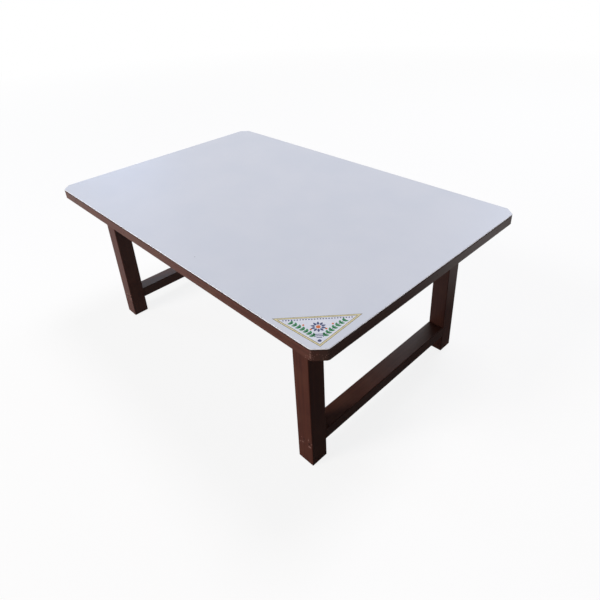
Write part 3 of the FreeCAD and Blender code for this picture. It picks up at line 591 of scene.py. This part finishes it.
def circle_points(across, up, radius, count=40):
    angles = [math.tau * step / count for step in range(count)]
    return [(across + radius * math.cos(a), up + radius * math.sin(a)) for a in angles]


def leaf_points(across, up, length, width, angle, count=12):
    """A leaf that starts at a point and grows at an angle."""
    edge = []
    for side in (1, -1):
        for step in range(count):
            along = step / count if side > 0 else 1 - step / count
            off = side * width / 2 * math.sin(math.pi * along ** LEAF_FULLNESS)
            edge.append((along * length, off))
    turned = Matrix.Rotation(angle, 2)
    return [tuple(Vector((across, up)) + turned @ Vector(point)) for point in edge]


def bar_points(left, low, right, high):
    return [(left, low), (right, low), (right, high), (left, high)]


def printed(name, outlines, ink):
    """Thin closed shapes of ink that lie on the label."""
    mesh = bpy.data.meshes.new(name)
    shape = bmesh.new()
    for outline in outlines:
        low = [shape.verts.new(on_label(*point)) for point in outline]
        high = [shape.verts.new(on_label(*point, lift=INK)) for point in outline]
        shape.faces.new(list(reversed(low)))
        shape.faces.new(high)
        for index in range(len(outline)):
            after = (index + 1) % len(outline)
            shape.faces.new([low[index], low[after], high[after], high[index]])
    bmesh.ops.recalc_face_normals(shape, faces=shape.faces)
    shape.to_mesh(mesh)
    shape.free()
    mesh.materials.append(ink)
    piece = bpy.data.objects.new(name, mesh)
    bpy.context.scene.collection.objects.link(piece)
    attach(piece, "top")
    return piece


def stroke_points(start, end, width):
    """A short straight stroke with square ends that overlaps its neighbours."""
    start, end = Vector(start), Vector(end)
    along = (end - start).normalized() * width * STROKE_OVERLAP_SHARE
    beside = Vector((-along.y, along.x)).normalized() * width / 2
    return [tuple(start - along - beside), tuple(end + along - beside),
            tuple(end + along + beside), tuple(start - along + beside)]


def border_triangle(inset):
    """The corners of a triangle that runs inside the film's edge, the square one first."""
    low = inset * math.sqrt(2)
    high = LABEL_REACH - inset
    half = high - low
    return [(0, low), (half, high), (-half, high)]


def border_outlines(inset, width):
    """The three strips of a line that runs inside the label's edge."""
    outer, inner = border_triangle(inset), border_triangle(inset + width)
    return [[outer[index - 1], outer[index], inner[index], inner[index - 1]]
            for index in range(len(outer))]


def sprig_point(side, share):
    """A point on a sprig that grows up one side of the label, a little bowed."""
    up = SPRIG_FOOT + SPRIG_RISE * share
    return (side * (up - SPRIG_INSET - SPRIG_BOW * math.sin(math.pi * share)), up)


def sprig_shapes(side):
    """The stem and leaves of the sprig on one side, and its berries."""
    stem = [sprig_point(side, step / STEM_STROKES) for step in range(STEM_STROKES + 1)]
    leaves = [stroke_points(start, end, STEM_WIDTH) for start, end in zip(stem, stem[1:])]
    berries = []
    for index in range(LEAF_PAIRS):
        share = (index + FIRST_LEAF_SHARE) / LEAF_PAIRS
        root = Vector(sprig_point(side, share))
        ahead = Vector(sprig_point(side, share + AHEAD_SHARE)) - root
        angle = math.atan2(ahead.y, ahead.x)
        for lean in (LEAF_LEAN, -LEAF_LEAN):
            leaves.append(leaf_points(*root, LEAF_LENGTH, LEAF_WIDTH, angle + lean))
        if index in BERRY_PAIRS:
            inward = Vector((-ahead.y, ahead.x)).normalized() * side
            berries.append(circle_points(*(root + inward * BERRY_OFF), BERRY_RADIUS, count=20))
    return leaves, berries


def flower_shapes():
    """The petals, with the row of beads over them and the rules and the seed under them."""
    turns = [math.tau * (step + 0.5) / PETALS for step in range(PETALS)]
    petals = [leaf_points(PETAL_ROOT * math.cos(a), FLOWER_UP + PETAL_ROOT * math.sin(a),
                          PETAL_LENGTH, PETAL_WIDTH, a) for a in turns]
    beads = [circle_points(index * BEAD_PITCH, BEAD_UP, BEAD_RADIUS, count=16)
             for index in range(-BEADS_EACH_SIDE, BEADS_EACH_SIDE + 1)]
    rules = [bar_points(-half, low, half, low + RULE_WIDTH) for half, low in RULES]
    seed = circle_points(0, SEED_UP, SEED_RADIUS, count=24)
    return petals + beads + rules + [seed]


def print_label():
    olive = screen_ink("olive", "#423E1E", "#59532D")
    gold = screen_ink("pale_gold", "#BFB588", "#CFC69E")
    green = screen_ink("green", "#12653A", "#237F49")
    orange = screen_ink("orange", "#B4531C", "#CC6E31")
    navy = screen_ink("navy", "#1F2A52", "#34406C")
    lines = [strip for line in BORDER_LINES for strip in border_outlines(*line)]
    sprigs = [sprig_shapes(side) for side in (1, -1)]
    heart = circle_points(0, FLOWER_UP, HEART_RADIUS)
    printed("label_border", border_outlines(*BORDER_BAND), gold)
    printed("label_border_lines", lines, olive)
    printed("label_leaves", sprigs[0][0] + sprigs[1][0], green)
    printed("label_berries", sprigs[0][1] + sprigs[1][1] + [heart], orange)
    printed("label_flower", flower_shapes(), navy)


print_label()


# Screws with cross recesses, in place of the plain ones

# The screws of a base plate: where the inner ones stand along X, how far each is from the
# middle of its leg along Y, and the radii of the head, the shank and the shank at the tip
BRACKET_SCREW_INNER = 207 * MM
BRACKET_SCREW_SPREAD = 10 * MM
BRACKET_SCREW_HEAD, BRACKET_SCREW_SHANK, BRACKET_SCREW_TIP = 3.5 * MM, 1.75 * MM, 1.6 * MM
BRACKET_SCREW_POINT = 3 * MM

# The domed screws of a shoe: the radius of the head, and down the screw from the flat of its
# head the radius and the height of each edge
SHOE_SCREW_HEAD = 3.1 * MM
SHOE_SCREW_PROFILE = (
    (2 * MM, 0), (2.7 * MM, -0.35 * MM), (SHOE_SCREW_HEAD, -1.1 * MM),
    (SHOE_SCREW_HEAD, -1.8 * MM), (1.6 * MM, -1.8 * MM), (1.5 * MM, -8.8 * MM), (0, -11.8 * MM))

# The cross in a head: the reach of its arms, half their width, and its depth. Its floor is
# smaller than its mouth by these shares, and each screw stopped a turn further than the last.
BRACKET_SCREW_CROSS = (1.9 * MM, 0.45 * MM, 1.5 * MM)
SHOE_SCREW_CROSS = (1.6 * MM, 0.4 * MM, 1.1 * MM)
CROSS_REACH_SHARE, CROSS_WIDTH_SHARE = 0.6, 0.7
SCREW_TURN = math.radians(37)
SCREW_SIDES = 24


def cross_points(reach, half, height):
    """The twelve corners of a cross, round the screw's axis."""
    corners = [(reach, -half), (reach, half), (half, half)]
    outline = []
    for quarter in range(4):
        turned = Matrix.Rotation(quarter * math.pi / 2, 2)
        outline += [(*(turned @ Vector(point)), height) for point in corners]
    return outline


def join_rings(shape, upper, lower):
    """A band of faces between two loops that have as many points."""
    for index in range(len(upper)):
        after = (index + 1) % len(upper)
        shape.faces.new([upper[index], lower[index], lower[after], upper[after]])


def add_screw(shape, placing, profile, cross):
    """A screw whose head looks along +Z. The profile runs from the recessed flat to the tip."""
    turns = [math.tau * step / SCREW_SIDES for step in range(SCREW_SIDES)]
    rings = [
        [shape.verts.new(placing @ Vector((radius * math.cos(a), radius * math.sin(a), height)))
         for a in turns]
        for radius, height in profile[:-1]
    ]
    for upper, lower in zip(rings, rings[1:]):
        join_rings(shape, upper, lower)
    tip = shape.verts.new(placing @ Vector((0, 0, profile[-1][1])))
    for index in range(SCREW_SIDES):
        shape.faces.new([rings[-1][index - 1], tip, rings[-1][index]])

    reach, half, depth = cross
    foot = cross_points(CROSS_REACH_SHARE * reach, CROSS_WIDTH_SHARE * half, -depth)
    mouth = [shape.verts.new(placing @ Vector(point)) for point in cross_points(reach, half, 0)]
    floor = [shape.verts.new(placing @ Vector(point)) for point in foot]
    join_rings(shape, mouth, floor)
    shape.faces.new(floor)
    rims = [shape.edges.get((loop[index - 1], loop[index]))
            for loop in (rings[0], mouth) for index in range(len(loop))]
    bmesh.ops.triangle_fill(shape, use_beauty=True, edges=rims)


def screw_set(name, places, profile, cross, body):
    """One piece of all the screws on a body that share a size."""
    shape = bmesh.new()
    for index, (place, direction) in enumerate(places):
        placing = (Matrix.Translation(place)
                   @ Vector(direction).to_track_quat("Z", "Y").to_matrix().to_4x4()
                   @ Matrix.Rotation(SCREW_TURN * index, 4, "Z"))
        add_screw(shape, placing, profile, cross)
    bmesh.ops.recalc_face_normals(shape, faces=shape.faces)
    mesh = bpy.data.meshes.new(name)
    shape.to_mesh(mesh)
    shape.free()
    mesh.materials.append(zinc)
    piece = bpy.data.objects.new(name, mesh)
    bpy.context.scene.collection.objects.link(piece)
    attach(piece, body)
    return piece


def make_bracket_screws():
    low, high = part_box("bracket_screws")
    outer = high.x - BRACKET_SCREW_HEAD
    places = [
        (Vector((side * across, end * LEG_MIDDLE + step * BRACKET_SCREW_SPREAD, low.z)),
         (0, 0, -1))
        for side in (1, -1) for end in (1, -1)
        for across in (BRACKET_SCREW_INNER, outer) for step in (1, -1)
    ]
    tip = low.z - high.z
    countersunk = [
        (BRACKET_SCREW_HEAD, 0), (BRACKET_SCREW_SHANK, BRACKET_SCREW_SHANK - BRACKET_SCREW_HEAD),
        (BRACKET_SCREW_TIP, tip + BRACKET_SCREW_POINT), (0, tip)]
    piece = screw_set(
        "bracket_screws_recessed", places, countersunk, BRACKET_SCREW_CROSS, "top")
    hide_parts("bracket_screws")


def make_shoe_screws(side):
    low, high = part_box(f"{side}_shoe_screws")
    middle = (low + high) / 2
    spread = (high.x - low.x) / 2 - SHOE_SCREW_HEAD
    outside = high.y
    inside = 2 * LEG_MIDDLE - outside
    places = [
        (Vector((middle.x + step * spread, end * reach, middle.z)), (0, end * facing, 0))
        for end in (1, -1) for step in (1, -1) for reach, facing in ((outside, 1), (inside, -1))
    ]
    piece = screw_set(f"{side}_shoe_screws_recessed", places, SHOE_SCREW_PROFILE,
                      SHOE_SCREW_CROSS, f"{side}_frame")
    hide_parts(f"{side}_shoe_screws")


make_bracket_screws()
make_shoe_screws("left")
make_shoe_screws("right")


# Stage, light and camera

# Each change over the floor has a centre, the two distances from it where the change starts
# and ends, and what it goes from and to. The shares are shares of plain white.
FLOOR_RADIUS = 5
FLOOR_SWEEP, FLOOR_SWEEP_SHARES = (0.9, 3.0), (0.86, 1.0)
SHADE_CENTRE, SHADE_FADE, SHADE_SHARES = (0.15, -0.06, 0), (0.44, 0.66), (0.04, 0.39)
BOUNCE_CENTRE, BOUNCE_FADE, BOUNCE_GREYS = (-0.2, 0, 0), (0.22, 0.55), ("#A0A0A0", "#343434")
# Patches of light on the floor that the gloss of the wood picks up: the place of each, the
# distances where it starts and ends to fade, and its share of white
FLOOR_PATCHES = (
    ((0.44, 0.48, 0), (0.12, 0.27), 0.44),
    ((-0.29, -0.18, 0), (0.06, 0.15), 0.17),
    ((-1.0, -0.4, 0), (0.12, 0.32), 0.36),
    ((0.06, 0.0, 0), (0.08, 0.22), 0.32),
)

SOFTBOXES = {
    # where it stands, what it looks at, its width, its power and its colour
    "top_light": ((0.1, 1.2, 4.0), (0, 0, 0.25), 1.6, 81.5, "#FEF8FA"),
    "back_light": ((0.0, 2.0, 1.6), (0, 0, 0.2), 0.9, 16, "#E4ECFF"),
    "side_light": ((-3.2, -1.4, 0.9), (0, 0, 0.15), 1.0, 33, "#C6DAFF"),
    "front_light": ((-0.65, -2.3, 2.1), (0, -0.1, 0.15), 0.9, 51, "#FFFAF5"),
    "low_light": ((-0.3, -3.2, 0.5), (0.1, 0, 0.1), 1.0, 12, "#FFFFFF"),
    "window_light": ((-3.2, 1.1, 0.75), (-0.25, 0, 0.25), 0.8, 4.4, "#9CC2FF"),
}

CAMERA_PLACE = Vector((565.8, -458.9, 585.3)) * MM
CAMERA_YAW, CAMERA_PITCH, CAMERA_ROLL = (math.radians(a) for a in (-46.95, -29.32, -2.89))
FRAME_PIXELS = 600
FOCAL_PIXELS = 512.5
CENTRE_PIXEL = (302.5, 237.9)


def background_rays(tree, camera_share, mirror_share):
    """The share of plain white that the camera and mirror rays see."""
    rays = add_node(tree, "LightPath")
    mirror = add_node(tree, "Math", {
        0: rays.outputs["Is Glossy Ray"], 1: rays.outputs["Is Transmission Ray"]},
        operation="MAXIMUM")
    in_mirror = add_node(tree, "Math", {0: mirror, 1: mirror_share}, operation="MULTIPLY")
    in_view = add_node(tree, "Math", {
        0: rays.outputs["Is Camera Ray"], 1: camera_share}, operation="MULTIPLY")
    return add_node(tree, "Math", {0: in_view, 1: in_mirror}, operation="MAXIMUM")


def make_floor():
    # A plain pale floor, white to the camera but for the table's shadow. To the light that
    # bounces from it, it is grey, so that the table's shaded ends stay dark, and paler under
    # the table, where the real floor lights the insides of the legs.
    bpy.ops.mesh.primitive_circle_add(vertices=96, radius=FLOOR_RADIUS, fill_type="NGON")
    floor = bpy.context.object
    floor.name = "studio_floor"
    material, tree, place = new_material("matt_floor_paint")
    distance = add_node(tree, "VectorMath", {0: place}, operation="LENGTH")
    swept = add_node(tree, "MapRange", {
        "Value": distance, "From Min": FLOOR_SWEEP[0], "From Max": FLOOR_SWEEP[1],
        "To Min": FLOOR_SWEEP_SHARES[0], "To Max": FLOOR_SWEEP_SHARES[1]})
    reach = add_node(tree, "VectorMath", {0: place, 1: SHADE_CENTRE}, operation="DISTANCE")
    mirrored = add_node(tree, "MapRange", {
        "Value": reach, "From Min": SHADE_FADE[0], "From Max": SHADE_FADE[1],
        "To Min": SHADE_SHARES[0], "To Max": SHADE_SHARES[1]}).outputs["Result"]
    for patch, fade, share in FLOOR_PATCHES:
        reach = add_node(tree, "VectorMath", {0: place, 1: patch}, operation="DISTANCE")
        lit = add_node(tree, "MapRange", {
            "Value": reach, "From Min": fade[1], "From Max": fade[0], "To Max": share})
        mirrored = add_node(tree, "Math", {0: mirrored, 1: lit}, operation="ADD").outputs[0]
    seen = background_rays(tree, swept.outputs["Result"], mirrored)
    under = add_node(tree, "VectorMath", {0: place, 1: BOUNCE_CENTRE}, operation="DISTANCE")
    outside = add_node(tree, "MapRange", {
        "Value": under, "From Min": BOUNCE_FADE[0], "From Max": BOUNCE_FADE[1]})
    bounce = add_node(tree, "Mix", {
        "Factor": outside, "A": linear(BOUNCE_GREYS[0]), "B": linear(BOUNCE_GREYS[1])},
        data_type="RGBA")
    colour = add_node(tree, "Mix", {
        "Factor": add_node(tree, "LightPath").outputs["Is Camera Ray"],
        "A": bounce, "B": linear("#F4F4F4")}, data_type="RGBA")
    paint = add_node(tree, "BsdfDiffuse", {"Color": colour})
    white = add_node(tree, "Emission", {"Color": linear("#FFFFFF"), "Strength": 1.0})
    shader = add_node(tree, "MixShader", {0: seen, 1: paint, 2: white})
    add_node(tree, "OutputMaterial", {"Surface": shader})
    floor.data.materials.append(material)


def light_world():
    world = bpy.data.worlds.new("studio")
    bpy.context.scene.world = world
    world.use_nodes = True
    tree = world.node_tree
    tree.nodes.clear()
    fill = add_node(tree, "Background", {"Color": linear("#EEF1F8"), "Strength": 0.02})
    white = add_node(tree, "Background", {"Color": linear("#FFFFFF"), "Strength": 1.0})
    mixed = add_node(tree, "MixShader", {0: background_rays(tree, 1.0, 1.0), 1: fill, 2: white})
    add_node(tree, "OutputWorld", {"Surface": mixed})


def add_softbox(name, place, aim, size, power, colour):
    lamp = bpy.data.lights.new(name, "AREA")
    lamp.shape = "DISK"
    lamp.size = size
    lamp.energy = power
    lamp.color = linear(colour)[:3]
    holder = bpy.data.objects.new(name, lamp)
    bpy.context.scene.collection.objects.link(holder)
    holder.location = place
    direction = Vector(aim) - Vector(place)
    holder.rotation_euler = direction.to_track_quat("-Z", "Y").to_euler()


def add_camera():
    camera = bpy.data.cameras.new("photo_view")
    camera.sensor_width = 36
    camera.lens = camera.sensor_width * FOCAL_PIXELS / FRAME_PIXELS
    camera.shift_x = (FRAME_PIXELS / 2 - CENTRE_PIXEL[0]) / FRAME_PIXELS
    camera.shift_y = (CENTRE_PIXEL[1] - FRAME_PIXELS / 2) / FRAME_PIXELS
    camera.clip_start, camera.clip_end = 0.01, 50
    forward = Vector((math.sin(CAMERA_YAW) * math.cos(CAMERA_PITCH),
                      math.cos(CAMERA_YAW) * math.cos(CAMERA_PITCH), math.sin(CAMERA_PITCH)))
    level = forward.cross(Vector((0, 0, 1))).normalized()
    upright = level.cross(forward)
    right = math.cos(CAMERA_ROLL) * level + math.sin(CAMERA_ROLL) * upright
    up = right.cross(forward)
    holder = bpy.data.objects.new("photo_view", camera)
    bpy.context.scene.collection.objects.link(holder)
    turned = Matrix((right, up, -forward)).transposed().to_4x4()
    holder.matrix_world = Matrix.Translation(CAMERA_PLACE) @ turned
    bpy.context.scene.camera = holder


make_floor()
light_world()
for name, settings in SOFTBOXES.items():
    add_softbox(name, *settings)
add_camera()

bpy.context.scene.view_settings.view_transform = "Standard"
